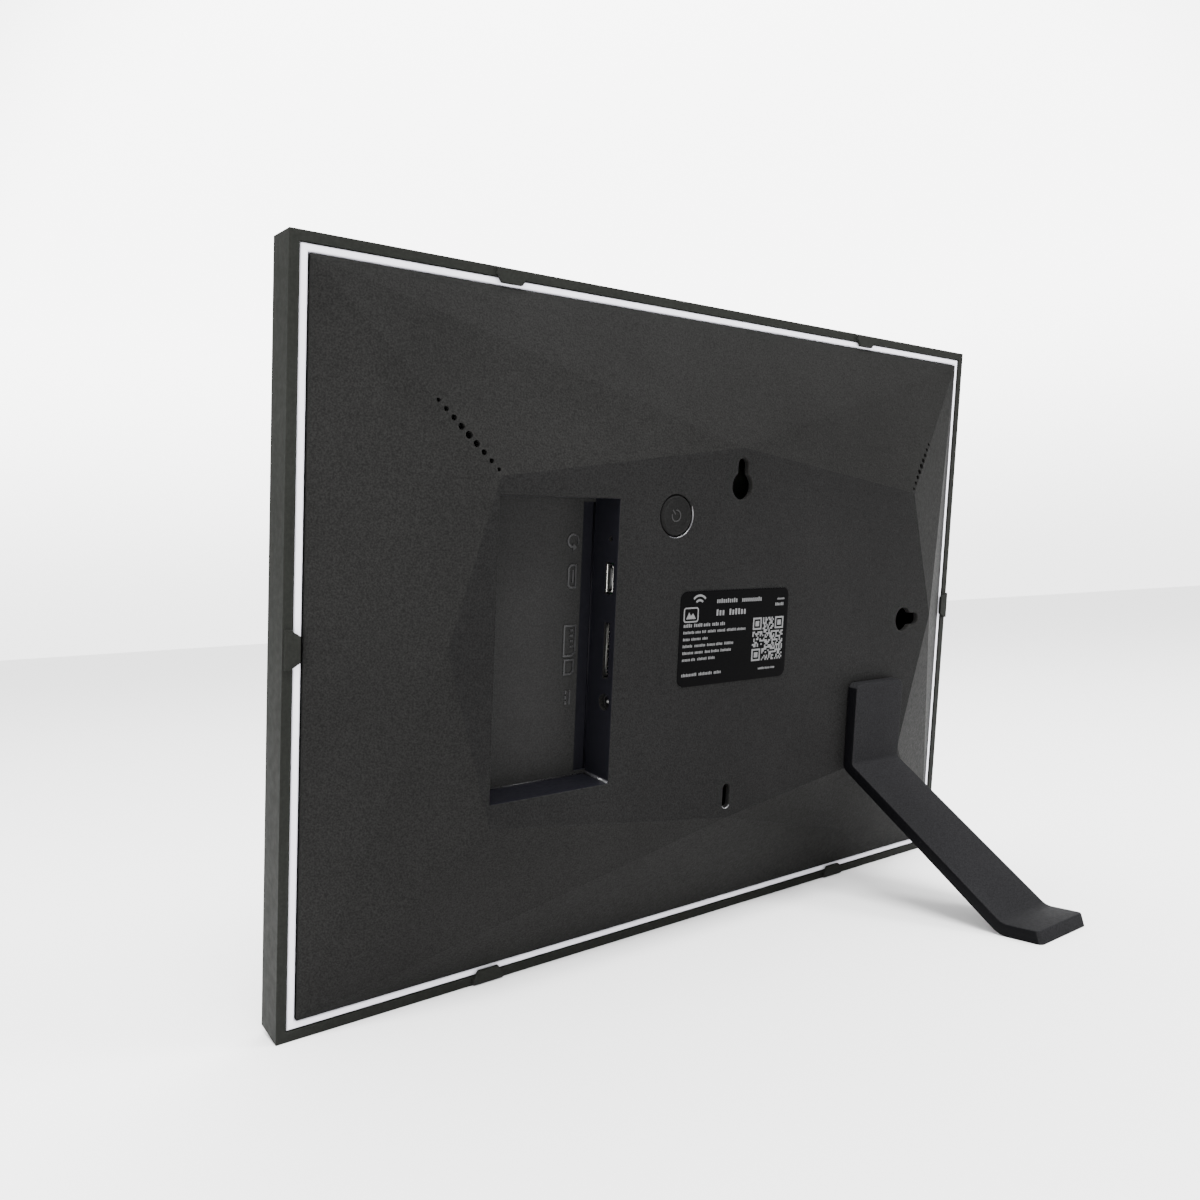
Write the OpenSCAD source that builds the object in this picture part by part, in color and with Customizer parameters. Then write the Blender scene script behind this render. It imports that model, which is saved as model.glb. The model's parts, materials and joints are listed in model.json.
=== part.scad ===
// Digital photo frame with a ten-inch display, a faceted rear cover and a clip-on stand.
// World frame: +Z up, display faces -Y, millimetres. Origin: on the table, under the middle of the object.
// Parts are drawn in the frame's own axes, seen from behind: +X right, +Y up along the frame,
// +Z towards the back (called depth here, 0 at the rear rim), and then leaned back as a whole.

/* [Outer frame] */
// Width of the frame
frame_w = 265; // [262:1:275]
// Height of the frame
frame_h = 195; // [193:1:205]
// Depth of the frame's side wall
frame_d = 11; // [10.6:0.1:14]
// Thickness of the side wall, which is also the rear rim
rim_w = 2.6; // [2.4:0.1:3]
// Width of the front lip round the glass
lip_w = 9; // [7:0.5:14]
// Thickness of the front lip
lip_t = 1.8; // [1.4:0.1:2]
// Height of the snap tabs over the rear rim
tab_t = 1; // [0.6:0.1:1.4]
// Distance of the top and bottom snap tabs from the middle
tab_x = 73; // [50:1:90]

/* [Display] */
// Width of the picture area
view_w = 217; // [200:1:220]
// Height of the picture area
view_h = 136; // [120:1:140]

/* [Rear cover] */
// Height of the flat plateau over the rear rim
plateau_z = 16.5; // [16.5:0.5:20]
// Wall thickness of the cover
wall = 1.6; // [1.2:0.1:1.8]
// Half width of the plateau at its upper and lower corners
corner_x = 84; // [84:1:88]
// Half width of the plateau at half height
waist_x = 97.5; // [96:0.5:105]
// Height of the plateau's upper corners over the middle
corner_top = 43; // [42:1:50]
// Depth of the plateau's lower corners under the middle
corner_bottom = 46.5; // [46:0.5:52]
// Height of the plateau's top point over the middle
peak_top = 54.4; // [54:0.2:60]
// Depth of the plateau's bottom point under the middle
peak_bottom = 58; // [57:0.5:64]
// Number of sound holes in each row
vent_count = 9; // [5:1:11]

/* [Port bay] */
// Left edge of the bay, measured from the middle
bay_left = -84; // [-84:0.5:-80]
// Right edge of the bay, where the ports are
bay_right = -46; // [-50:0.5:-46]
// Upper edge of the bay
bay_top = 38.2; // [36:0.2:39]
// Lower edge of the bay
bay_bottom = -40.4; // [-42:0.2:-38]
// Depth of the bay's floor over the rear rim
bay_floor = 5.5; // [5:0.1:7]

/* [Power button] */
// Diameter of the button
button_d = 11.6; // [10:0.1:13]
// Distance the button travels
button_travel = 0.3; // [0.2:0.05:0.4]

/* [Stand] */
// Angle at which the frame leans back on its stand
lean = 10.2; // [8:0.1:12]
// Width of the stand's strip
stand_w = 24.6; // [20:0.2:30]
// Thickness of the stand's strip
stand_t = 3.7; // [3:0.1:4.5]
// Depth of the foot's rear end behind the rear rim
foot_reach = 87.6; // [80:0.2:95]

/* [Hidden] */
$fn = 48;

// Where the frame's own axes sit in the world
foot_end_y = -frame_h / 2 + foot_reach * tan(lean);
world_back = foot_reach * cos(lean) + foot_end_y * sin(lean);
world_front = -frame_d * cos(lean) - frame_h / 2 * sin(lean);
centre_y = -(world_back + world_front) / 2;
centre_z = frame_h / 2 * cos(lean);

// Stack of the display, as depths of the faces
glass_front = -frame_d + lip_t + 0.1;
glass_back = glass_front + 1.8;
mat_front = glass_back + 0.1;
mat_back = mat_front + 0.8;
flange_front = mat_back + 0.1;
flange_back = flange_front + 1.6;
cell_front = mat_back + 0.4;
tray_back = cell_front + 4.8;

// Sizes that follow from the driving ones
fit_gap = 0.15;
inner_half = [frame_w / 2 - rim_w - fit_gap, frame_h / 2 - rim_w - fit_gap];
strip_w = 2;
strip_top = -0.3;
cover_half = inner_half - [strip_w + 0.3, strip_w + 0.3];
tray_half = [115.5, 75.5];
plate_gap = 0.2;
plateau_in = plateau_z - wall;
port_z = 12.9;
board_top = 11.4;
board_t = 1.6;
board_back = board_top - board_t;

// Places of the ports along the bay's wall
reset_y = 27.1;
usb_y = 16.2;
card_y = -3.8;
dc_y = -18.3;

// Places on the plateau
button_at = [-25.6, 33.9];
keyhole_top = [0, 43];
keyhole_side = [82.4, -1];
keyhole_r = 4.1;
keyhole_slot_r = 2.1;
keyhole_run = 6.2;
slot_at = [0, -51.2];
label_size = [45, 28];
label_at = [0, -1.8];

// Stand: the strip's middle, and the two prongs that hold it
stand_x = 66.8;
plate_top = -21;
bend_y = -48.2;
knee_z = foot_reach - 12;
prong_d = 5;
prong_len = 5;
prong_y = [-28, -41];
prong_fit = 0.16;

// Speakers: place of the right one and its turn, which follow the sound holes' ridge
speaker_at = [92.5, 54];
speaker_turn = 48;

board_bosses = [[-39, 37.5], [-12, 37.5], [26, 30], [26, -26], [-39, -26]];
cover_bosses = concat(
  [for (sx = [-1, 1]) for (y = [-66, 0, 66]) [sx * 122.6, y]],
  [for (sy = [-1, 1]) for (x = [-62, 62]) [x, sy * 87.6]]);
screw_d = 1.9;
screw_hole = 2.1;

// Leans a part drawn in the frame's own axes back on its stand
module place() {
  translate([0, centre_y, centre_z]) rotate([90 + lean, 0, 180]) children();
}

// Ring with square corners between two half sizes
module ring(outer, inner, z0, z1) {
  translate([0, 0, z0]) linear_extrude(z1 - z0) difference() {
    square(2 * outer, center = true);
    square(2 * inner, center = true);
  }
}

// Box between two corners
module block(low, high) {
  translate(low) cube(high - low);
}

// Round rod between two points
module rod(from, to, d) {
  run = to - from;
  translate(from) rotate([0, acos(run[2] / norm(run)), atan2(run[1], run[0])])
    cylinder(h = norm(run), d = d, $fn = 16);
}

// Rounded rectangle
module round_rect(size, r) {
  union() {
    square([size[0] - 2 * r, size[1]], center = true);
    square([size[0], size[1] - 2 * r], center = true);
    for (sx = [-1, 1]) for (sy = [-1, 1])
      translate([sx * (size[0] / 2 - r), sy * (size[1] / 2 - r)]) circle(r, $fn = 24);
  }
}

// Obround hole outline between two centres
module obround(a, b, r) {
  run = b - a;
  translate(a) circle(r);
  translate(b) circle(r);
  translate((a + b) / 2) rotate(atan2(run[1], run[0])) square([norm(run), 2 * r], center = true);
}

// Tab that snaps over the display module, pointing to -Y from an edge at y = 0
module snap_tab() {
  root = 9.6;
  tip = 6.4;
  reach = 4.2;
  linear_extrude(tab_t)
    polygon([[-root / 2, -0.4], [root / 2, -0.4], [root / 2, -1.6], [tip / 2, -reach],
      [-tip / 2, -reach], [-root / 2, -1.6]]);
  block([-root / 2, -rim_w + 0.4, -0.6], [root / 2, -0.4, tab_t]);
}

module outer_frame() {
  color([0.16, 0.16, 0.155]) place() {
    ring([frame_w, frame_h] / 2, [frame_w / 2 - rim_w, frame_h / 2 - rim_w], -frame_d + lip_t, 0);
    ring([frame_w, frame_h] / 2, [frame_w / 2 - lip_w, frame_h / 2 - lip_w], -frame_d, -frame_d + lip_t);
    for (sx = [-1, 1]) {
      translate([sx * tab_x, frame_h / 2, 0]) snap_tab();
      translate([sx * tab_x, -frame_h / 2, 0]) rotate(180) snap_tab();
      translate([sx * frame_w / 2, 0, 0]) rotate(-sx * 90) snap_tab();
    }
  }
}

module front_glass() {
  color([0.75, 0.8, 0.82, 0.35]) place() block([-inner_half[0], -inner_half[1], glass_front],
    [inner_half[0], inner_half[1], glass_back]);
}

module mat_board() {
  color([0.93, 0.92, 0.95]) place()
    ring(inner_half, [view_w, view_h] / 2 - [0.5, 0.5], mat_front, mat_back);
}

module foam_tape() {
  color([0.12, 0.12, 0.12]) place()
    ring([114.4, 74.4], [view_w, view_h] / 2 + [1, 1], mat_back, cell_front);
}

module inner_frame() {
  color([0.9, 0.89, 0.94]) place() difference() {
    union() {
      ring(inner_half, inner_half - [strip_w, strip_w], flange_front, strip_top);
      ring(inner_half, [118.5, 80], flange_front, flange_back);
    }
    for (p = cover_bosses) translate([p[0], p[1], flange_front - 1]) {
      cylinder(h = 4, d = screw_hole);
      cylinder(h = 2, d = 4);
    }
  }
}

module lcd_cell() {
  color([0.05, 0.05, 0.07]) place() block([-114.4, -74.4, cell_front], [114.4, 74.4, cell_front + 1.5]);
}

module light_guide() {
  color([0.85, 0.9, 0.92]) place()
    block([-114.4, -71, cell_front + 1.6], [114.4, 74.4, tray_back - 0.7]);
}

module led_bar() {
  color([0.9, 0.9, 0.8]) place() {
    block([-112, -74.2, cell_front + 1.8], [112, -73.2, tray_back - 0.8]);
    for (i = [0 : 23])
      block([-109.5 + i * 9.4, -73.2, cell_front + 2.2], [-106.5 + i * 9.4, -72, tray_back - 1.2]);
  }
}

module backlight_tray() {
  color([0.62, 0.63, 0.64]) place() {
    ring(tray_half, tray_half - [0.7, 0.7], cell_front, tray_back);
    block([-tray_half[0], -tray_half[1], tray_back - 0.6], [tray_half[0], tray_half[1], tray_back]);
  }
}

module panel_brackets() {
  color([0.7, 0.7, 0.7]) place() for (sx = [-1, 1]) for (y = [-45, 45]) {
    block([sx > 0 ? tray_half[0] + 0.05 : -121.8, y - 5, flange_back],
      [sx > 0 ? 121.8 : -tray_half[0] - 0.05, y + 5, flange_back + 0.8]);
    block([sx > 0 ? tray_half[0] + 0.05 : -tray_half[0] - 0.85, y - 5, flange_back],
      [sx > 0 ? tray_half[0] + 0.85 : -tray_half[0] - 0.05, y + 5, tray_back]);
  }
}

// Flat plateau outline, pulled in by a margin for the inside of the cover
function plateau_points(m) = [
  [0, peak_top - m], [corner_x - m, corner_top - m],
  [waist_x - m, 0], [corner_x - m, m - corner_bottom],
  [0, m - peak_bottom], [m - corner_x, m - corner_bottom],
  [m - waist_x, 0], [m - corner_x, corner_top - m]];

// Faceted body of the cover, with a margin for its inside
module facets(m) {
  edge_t = 0.4;
  hull() {
    translate([0, 0, -0.2]) linear_extrude(edge_t)
      square(2 * [cover_half[0] - m, cover_half[1] - m], center = true);
    translate([0, 0, plateau_z - m - edge_t]) linear_extrude(edge_t) polygon(plateau_points(m * 0.4));
  }
}

// Row of sound holes up the diagonal ridge, largest in the middle
module vents() {
  first = [84.3, 44.6];
  last = [98.8, 60.7];
  for (sx = [-1, 1]) for (i = [0 : vent_count - 1]) {
    at = first + (last - first) * i / (vent_count - 1);
    middle = 1 - abs(2 * i / (vent_count - 1) - 1);
    translate([sx * at[0], at[1], 0]) cylinder(h = plateau_z + 2, d = 1.1 + 0.9 * middle, $fn = 20);
  }
}

module keyhole(at, angle) {
  translate([at[0], at[1], plateau_in - 2]) rotate(angle) {
    cylinder(h = wall + 4, r = keyhole_r);
    linear_extrude(wall + 4) obround([0, 0], [0, keyhole_run], keyhole_slot_r);
  }
}

module rear_cover() {
  color([0.2, 0.2, 0.2]) place() difference() {
    union() {
      difference() {
        facets(0);
        facets(wall);
      }
      ring(cover_half, cover_half - [wall, wall], flange_back + 0.1, 0);
      // Walls and floor of the port bay
      intersection() {
        facets(0);
        block([bay_left - wall, bay_bottom - wall, bay_floor - wall],
          [bay_right + wall, bay_top + wall, plateau_z]);
      }
      // Sockets for the stand's prongs
      for (y = prong_y) translate([stand_x, y, plateau_z - 6.5]) cylinder(h = 6, d = 9);
      // Bosses for the main board
      for (p = board_bosses) translate([p[0], p[1], board_top + 0.05])
        cylinder(h = plateau_in - board_top + 0.5, d = 5);
      // Bosses for the cover's own screws
      intersection() {
        for (p = cover_bosses) translate([p[0], p[1], flange_back]) cylinder(h = 6 - flange_back, d = 5.4);
        union() {
          facets(0);
          block([-cover_half[0], -cover_half[1], flange_back + 0.1], [cover_half[0], cover_half[1], 0]);
        }
      }
      // Ring under the hole of the power button
      translate([button_at[0], button_at[1], plateau_in - 1.2]) difference() {
        cylinder(h = 2, d = button_d + 6);
        cylinder(h = 2, d = button_d + 3.2);
      }
    }
    block([bay_left, bay_bottom, bay_floor], [bay_right, bay_top, plateau_z + 1]);
    block([bay_right - 4.2, bay_bottom + 1.2, bay_floor - 0.6], [bay_right, bay_top - 1.2, bay_floor + 1]);
    vents();
    keyhole(keyhole_top, 0);
    keyhole(keyhole_side, -90);
    translate([0, 0, plateau_in - 2]) linear_extrude(wall + 4)
      obround(slot_at - [0, 2.3], slot_at + [0, 2.3], 1.4);
    translate([button_at[0], button_at[1], plateau_in - 1]) cylinder(h = wall + 3, d = button_d + 0.6);
    for (y = prong_y) translate([stand_x, y, 0]) cylinder(h = plateau_z + 1, d = prong_d + prong_fit);
    for (p = board_bosses) translate([p[0], p[1], board_top - 1]) cylinder(h = 4.4, d = screw_hole);
    for (p = cover_bosses) translate([p[0], p[1], flange_back])
      cylinder(h = 0.4 - flange_back, d = screw_hole);
    // Openings for the ports
    translate([bay_right - 1, reset_y, port_z]) rotate([0, 90, 0]) cylinder(h = wall + 2, d = 1.5);
    translate([bay_right - 1, dc_y, port_z]) rotate([0, 90, 0]) cylinder(h = wall + 2, d = 4.6);
    block([bay_right - 1, usb_y - 4.4, port_z - 1.7], [bay_right + wall + 1, usb_y + 4.4, port_z + 1.7]);
    block([bay_right - 1, card_y - 7.8, port_z - 1.2], [bay_right + wall + 1, card_y + 7.8, port_z + 1.2]);
  }
}

module cover_screws() {
  color([0.55, 0.55, 0.56]) place()
    for (p = cover_bosses) translate([p[0], p[1], flange_front + 0.05]) {
      cylinder(h = 0.9, d = 3.6);
      cylinder(h = 5.2, d = screw_d);
    }
}

module power_button() {
  color([0.17, 0.17, 0.17]) place() translate([button_at[0], button_at[1], 0]) {
    translate([0, 0, plateau_in - 0.8]) cylinder(h = wall + 0.8 + 0.15, d = button_d);
    translate([0, 0, plateau_in - 1.3]) cylinder(h = 1, d = button_d + 2.2);
    translate([0, 0, board_top + 2]) cylinder(h = plateau_in - 0.9 - board_top - 2, d = 3);
  }
}

module power_switch() {
  color([0.12, 0.12, 0.12]) place() translate([button_at[0], button_at[1], 0]) difference() {
    translate([-3, -3, board_top]) cube([6, 6, 1.6]);
    translate([0, 0, board_top + 0.4]) cylinder(h = 3, d = 3.5);
  }
}

module power_plunger() {
  low = board_top + 0.55 + button_travel;
  color([0.75, 0.74, 0.7]) place() translate([button_at[0], button_at[1], low])
    cylinder(h = board_top + 1.9 - low, d = 3.3);
}

module main_board() {
  color([0.07, 0.28, 0.16]) place() difference() {
    union() {
      block([-43.9, -30, board_back], [30, 34, board_top]);
      block([-43.9, 33, board_back], [-8, 41, board_top]);
    }
    for (p = board_bosses) translate([p[0], p[1], board_back - 1]) cylinder(h = 4, d = screw_hole);
    block([-44.5, dc_y - 3.6, board_back - 1], [-34.5, dc_y + 3.6, board_top + 1]);
  }
}

module board_screws() {
  color([0.6, 0.6, 0.6]) place() for (p = board_bosses) translate([p[0], p[1], board_back]) {
    translate([0, 0, -1.2]) cylinder(h = 1.2, d = 4);
    translate([0, 0, -0.6]) cylinder(h = 5, d = screw_d);
  }
}

module usb_port() {
  color([0.78, 0.78, 0.76]) place() difference() {
    block([bay_right + 0.4, usb_y - 4, board_top], [bay_right + 6.4, usb_y + 4, port_z + 1.5]);
    block([bay_right - 1, usb_y - 3.6, port_z - 1.1], [bay_right + 5.4, usb_y + 3.6, port_z + 1.1]);
  }
  color([0.1, 0.1, 0.1]) place()
    block([bay_right + 1.2, usb_y - 2.4, port_z - 0.3], [bay_right + 5.5, usb_y + 2.4, port_z + 0.3]);
}

module card_slot() {
  color([0.72, 0.72, 0.7]) place() difference() {
    block([bay_right + wall + 0.1, card_y - 7.9, board_top], [bay_right + 17, card_y + 7.9, port_z + 1.1]);
    block([bay_right, card_y - 6.2, port_z - 0.7], [bay_right + 15.4, card_y + 6.2, port_z + 0.7]);
  }
}

module dc_jack() {
  color([0.08, 0.08, 0.08]) place() difference() {
    block([bay_right + wall + 0.1, dc_y - 3.2, port_z - 2.6],
      [bay_right + 11, dc_y + 3.2, plateau_in - 0.1]);
    translate([bay_right, dc_y, port_z]) rotate([0, 90, 0]) cylinder(h = 9.4, d = 3.6);
  }
  color([0.8, 0.75, 0.6]) place()
    translate([bay_right + 3, dc_y, port_z]) rotate([0, 90, 0]) cylinder(h = 6.6, d = 1.2);
}

module reset_switch() {
  color([0.12, 0.12, 0.12]) place() difference() {
    block([bay_right + 4.4, reset_y - 2.6, board_top], [bay_right + 8, reset_y + 2.6, port_z + 1.6]);
    translate([bay_right + 4, reset_y, port_z]) rotate([0, 90, 0]) cylinder(h = 2.4, d = 1.9);
  }
}

module reset_plunger() {
  color([0.8, 0.78, 0.7]) place()
    translate([bay_right + 2.7, reset_y, port_z]) rotate([0, 90, 0]) cylinder(h = 2.9, d = 1.7);
}

module processor_shield() {
  color([0.7, 0.7, 0.72]) place() block([-13, -9, board_top], [13, 15, board_top + 2.2]);
}

module wifi_module() {
  color([0.75, 0.75, 0.74]) place() block([16.5, 8, board_top], [28.5, 23, board_top + 1.9]);
}

module memory_chip() {
  color([0.06, 0.06, 0.06]) place() block([-27, -8, board_top], [-16, 2, board_top + 1.1]);
}

module lcd_connector() {
  color([0.85, 0.83, 0.76]) place() block([-12, -28.5, board_back - 2.2], [14, -24, board_back]);
}

// Ribbon from the connector down to the tray, with round bends
module lcd_flex() {
  t = 0.3;
  r = 3.4;
  low = tray_back + t + 0.1;
  high = board_back - 1.4;
  color([0.75, 0.5, 0.2]) place() rotate([90, 0, 90]) translate([0, 0, -11]) linear_extrude(24) {
    translate([-32, high]) square([3.4, t]);
    translate([-32, high - r]) difference() {
      circle(r + t);
      circle(r);
      translate([0, -20]) square([20, 40]);
      translate([-20, -20]) square([40, 20]);
    }
    translate([-32 - r - t, low + r]) square([t, high - low - 2 * r]);
    translate([-32 - 2 * r - t, low + r]) difference() {
      circle(r + t);
      circle(r);
      translate([-20, -20]) square([20, 40]);
      translate([-20, 0]) square([40, 20]);
    }
    translate([-60, low - t]) square([28 - 2 * r - t, t]);
  }
}

// Box speaker with rounded ends, lying along the ridge of the sound holes
module speaker(side) {
  translate([side * speaker_at[0], speaker_at[1], 0]) rotate(side * speaker_turn) {
    translate([0, 0, 0.4]) linear_extrude(3.6) round_rect([30, 13], 3);
    translate([0, 0, 4]) linear_extrude(0.6) round_rect([25, 9], 4.4);
  }
}

module speaker_left() {
  color([0.1, 0.1, 0.1]) place() speaker(-1);
}

module speaker_right() {
  color([0.1, 0.1, 0.1]) place() speaker(1);
}

module speaker_pads() {
  color([0.25, 0.25, 0.25]) place() for (side = [-1, 1])
    translate([side * speaker_at[0], speaker_at[1], tray_back]) rotate(side * speaker_turn)
      linear_extrude(0.4 - tray_back) round_rect([26, 10], 2);
}

module speaker_leads() {
  color([0.7, 0.1, 0.1]) place() {
    rod([81.4, 41.9, 2.4], [30.7, 24, 10.6], 1.2);
    rod([-81.4, 41.9, 2.4], [-36, 41.9, 10.6], 1.2);
  }
}

module wifi_antenna() {
  color([0.75, 0.55, 0.25]) place() block([34, 10, plateau_in - 0.4], [44, 38, plateau_in]);
}

module antenna_lead() {
  color([0.1, 0.1, 0.1]) place() rod([28.9, 15.5, 12.4], [38, 22, plateau_in - 1.3], 1);
}

module rating_label() {
  color([0.1, 0.1, 0.11]) place() translate([label_at[0], label_at[1], plateau_z])
    linear_extrude(0.15) round_rect(label_size, 2.5);
}

// Side outline of the stand's strip: x is depth behind the rear rim, y is height along the frame
function table_y(z) = -frame_h / 2 + z * tan(lean);
function arc_points(c, r, from, sweep, n) =
  [for (i = [0 : n]) let (a = from + sweep * i / n) c + r * [cos(a), sin(a)]];

plate_back = plateau_z + plate_gap;
plate_face = plate_back + stand_t;
knee_y = table_y(knee_z) + stand_t / cos(lean);
leg_angle = atan2(knee_y - bend_y, knee_z - plate_face);
leg_down = [cos(leg_angle), sin(leg_angle)];
leg_side = [-sin(leg_angle), cos(leg_angle)];

// Rounds the corner at b between a and c with a radius r
function unit(v) = v / norm(v);
function corner_arc(a, b, c, r) = let (
    u = unit(a - b), v = unit(c - b),
    half = acos(u * v) / 2,
    centre = b + unit(u + v) * r / sin(half),
    p = b + u * r / tan(half), q = b + v * r / tan(half),
    a0 = atan2(p[1] - centre[1], p[0] - centre[0]),
    a1 = atan2(q[1] - centre[1], q[0] - centre[0]),
    sweep = a1 - a0 > 180 ? a1 - a0 - 360 : a1 - a0 < -180 ? a1 - a0 + 360 : a1 - a0)
  arc_points(centre, r, a0, sweep, 8);

module stand_profile() {
  top_out = [plate_face, plate_top];
  bend_out = [plate_face, bend_y];
  knee_out = [knee_z, knee_y];
  tip_out = [foot_reach - 1.3, table_y(foot_reach - 1.3) + stand_t / cos(lean)];
  tip_in = [foot_reach, table_y(foot_reach)];
  // The underside of the leg runs parallel to its face until it meets the table line
  leg_in = bend_out - leg_side * stand_t;
  run = (table_y(leg_in[0]) - leg_in[1]) / (leg_down[1] - leg_down[0] * tan(lean));
  knee_in = leg_in + leg_down * run;
  bend_in = leg_in - leg_down * ((leg_in[0] - plate_back) / leg_down[0]);
  top_in = [plate_back, plate_top];
  polygon(concat([top_in], [top_out], corner_arc(top_out, bend_out, knee_out, 1.6),
    corner_arc(bend_out, knee_out, tip_out, 5), [tip_out], [tip_in],
    corner_arc(tip_in, knee_in, bend_in, 7), corner_arc(knee_in, bend_in, top_in, 3)));
}

module stand() {
  r = 2.5;
  color([0.19, 0.19, 0.2]) place() {
    difference() {
      translate([stand_x - stand_w / 2, 0, 0]) rotate([90, 0, 90]) linear_extrude(stand_w)
        mirror([1, -1]) stand_profile();
      // Rounded upper corners of the plate
      for (s = [-1, 1]) translate([stand_x + s * (stand_w / 2 - r), plate_top - r, plate_back - 1])
        difference() {
          translate([s > 0 ? 0 : -r - 1, 0, 0]) cube([r + 1, r + 1, stand_t + 2]);
          cylinder(h = stand_t + 4, r = r);
        }
    }
    for (y = prong_y) translate([stand_x, y, plate_back - prong_len])
      cylinder(h = prong_len + 1, d = prong_d);
  }
}

outer_frame();
front_glass();
mat_board();
foam_tape();
inner_frame();
lcd_cell();
light_guide();
led_bar();
backlight_tray();
panel_brackets();
rear_cover();
cover_screws();
power_button();
power_switch();
power_plunger();
main_board();
board_screws();
usb_port();
card_slot();
dc_jack();
reset_switch();
reset_plunger();
processor_shield();
wifi_module();
memory_chip();
lcd_connector();
lcd_flex();
speaker_left();
speaker_right();
speaker_pads();
speaker_leads();
wifi_antenna();
antenna_lead();
rating_label();
stand();
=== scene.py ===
"""Looks of the digital photo frame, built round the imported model. Metres, +Z up, display towards -Y.

Detail is drawn in the frame's own axes, in millimetres, seen from behind: x to the right, y up along
the frame, z towards the back with 0 at the rear rim. placed() turns such a mesh into the scene.
"""
import json
import math
import random

import bmesh
import bpy
from mathutils import Matrix, Vector


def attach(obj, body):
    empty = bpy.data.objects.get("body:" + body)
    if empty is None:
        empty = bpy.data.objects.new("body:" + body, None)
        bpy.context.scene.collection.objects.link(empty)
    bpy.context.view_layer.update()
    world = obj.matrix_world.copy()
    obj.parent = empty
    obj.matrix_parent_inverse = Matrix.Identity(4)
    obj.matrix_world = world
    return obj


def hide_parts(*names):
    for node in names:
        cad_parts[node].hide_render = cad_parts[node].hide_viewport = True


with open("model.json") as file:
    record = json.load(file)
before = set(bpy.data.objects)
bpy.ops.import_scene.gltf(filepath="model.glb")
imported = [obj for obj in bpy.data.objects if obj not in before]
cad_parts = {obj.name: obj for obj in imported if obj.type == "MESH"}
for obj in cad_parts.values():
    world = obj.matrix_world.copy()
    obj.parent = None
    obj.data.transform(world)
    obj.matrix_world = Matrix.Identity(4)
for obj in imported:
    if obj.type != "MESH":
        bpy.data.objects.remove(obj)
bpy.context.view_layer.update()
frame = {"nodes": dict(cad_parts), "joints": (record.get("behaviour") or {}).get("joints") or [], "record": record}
nodes = frame["nodes"]
MM = 0.001
WHITE = (1, 1, 1, 1)

# The outer frame's depth and the rear cover's openings in the frame's own millimetres, as in the CAD, and
# how far the softened rims reach into the openings
SIDE_DEPTH = 11.0
SLOT_Y = -51.2
BAY_LEFT = -84
BAY_RIGHT = -46
BAY_BOTTOM = -40.4
BAY_TOP = 38.2
BAY_FLOOR = 5.5
GROOVE_WIDTH = 4.2
GROOVE_DEPTH = 0.6
MARKS_X = -53.4
RIM_DEPTH = 0.3

# How near two places count as one, and how deep added shapes sink into what carries them
NEAR = 0.05
SINK = 0.05

# Camera: lens in millimetres, shift of the picture, place in metres, turn in degrees
LENS = 28.69
SHIFT = (0.034, -0.0347)
CAMERA_PLACE = (0.20765, 0.20111, 0.09858)
CAMERA_TURN = (93.810, 3.572, 145.213)

# Lamps: place and aim in metres, edge of the square in metres, power in watts
LAMPS = {
    "key": dict(place=(0.3, 0.7, 1.6), aim=(0, 0, 0.1), size=0.8, power=62),
    "side": dict(place=(0.8, 0.1, 0.22), aim=(0.13, 0, 0.08), size=0.3, power=4.2),
    "rise": dict(place=(-0.4, 0.5, 0.8), aim=(-0.08, 0, 0.14), size=0.3, power=7),
}

# Strength of the room's light to the sides and overhead, and the heights between which it changes
ROOM = 1.05
OVERHEAD = 3.0
ROOM_HEIGHTS = (0.35, 0.85)

# What the backdrop adds at the horizon and higher up, the heights between which it changes, where its
# middle is and how soft its edge is
HORIZON = 2.7
BACKDROP = 6.0
BACKDROP_HEIGHTS = (0.0, 0.3)
BACKDROP_WAY = (-0.61, -0.79, 0.05)
BACKDROP_EDGE = (0.62, 0.82)

# Scale of the blotches in colour and of the smudges on the glass, and height of the grain in metres
BLOTCH = 18
SMUDGE = 30
GRAIN_HEIGHT = 0.00006

# Values of a noise between which its effect changes, and the narrower ones of the speckle
NOISE_RANGE = (0.3, 0.7)
SPECKLE_RANGE = (0.35, 0.65)

random.seed(7)


# ---------------------------------------------------------------- the frame's own axes

def lean_axes():
    """Matrix from the frame's own millimetres to the scene, from the stand's joint and the outer frame."""
    pull = next(j for j in frame["joints"] if j["name"] == "stand_pull")
    back = Vector(pull["axis"]).normalized()
    right = Vector((-1, 0, 0))
    up = back.cross(right)
    turn = Matrix((right, up, back)).transposed()
    points = [turn.transposed() @ v.co for v in nodes["outer_frame"].data.vertices]
    low = [min(p[i] for p in points) for i in range(3)]
    high = [max(p[i] for p in points) for i in range(3)]
    origin = Vector(((low[0] + high[0]) / 2, (low[1] + high[1]) / 2, low[2] + SIDE_DEPTH * MM))
    return Matrix.Translation(turn @ origin) @ turn.to_4x4() @ Matrix.Scale(MM, 4)


TO_SCENE = lean_axes()
TO_LOCAL = TO_SCENE.inverted()


def local_box(node):
    """Lowest and highest corner of a CAD node in the frame's own millimetres, to a micrometre."""
    points = [TO_LOCAL @ v.co for v in nodes[node].data.vertices]
    low = [round(min(p[i] for p in points), 3) for i in range(3)]
    high = [round(max(p[i] for p in points), 3) for i in range(3)]
    return low, high


def middle(node):
    return [(low + high) / 2 for low, high in zip(*local_box(node))]


def rear_end(node):
    return local_box(node)[1][2]


# Places that the nodes give
PLATEAU = rear_end("rear_cover")
LABEL_Z = rear_end("rating_label")
LABEL = middle("rating_label")[:2]
BUTTON = middle("power_switch")[:2]
RESET_Y = middle("reset_plunger")[1]
USB_Y, PORT_Z = middle("usb_port")[1:]
CARD_Y = middle("card_slot")[1]
DC_Y = middle("dc_jack")[1]


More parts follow.
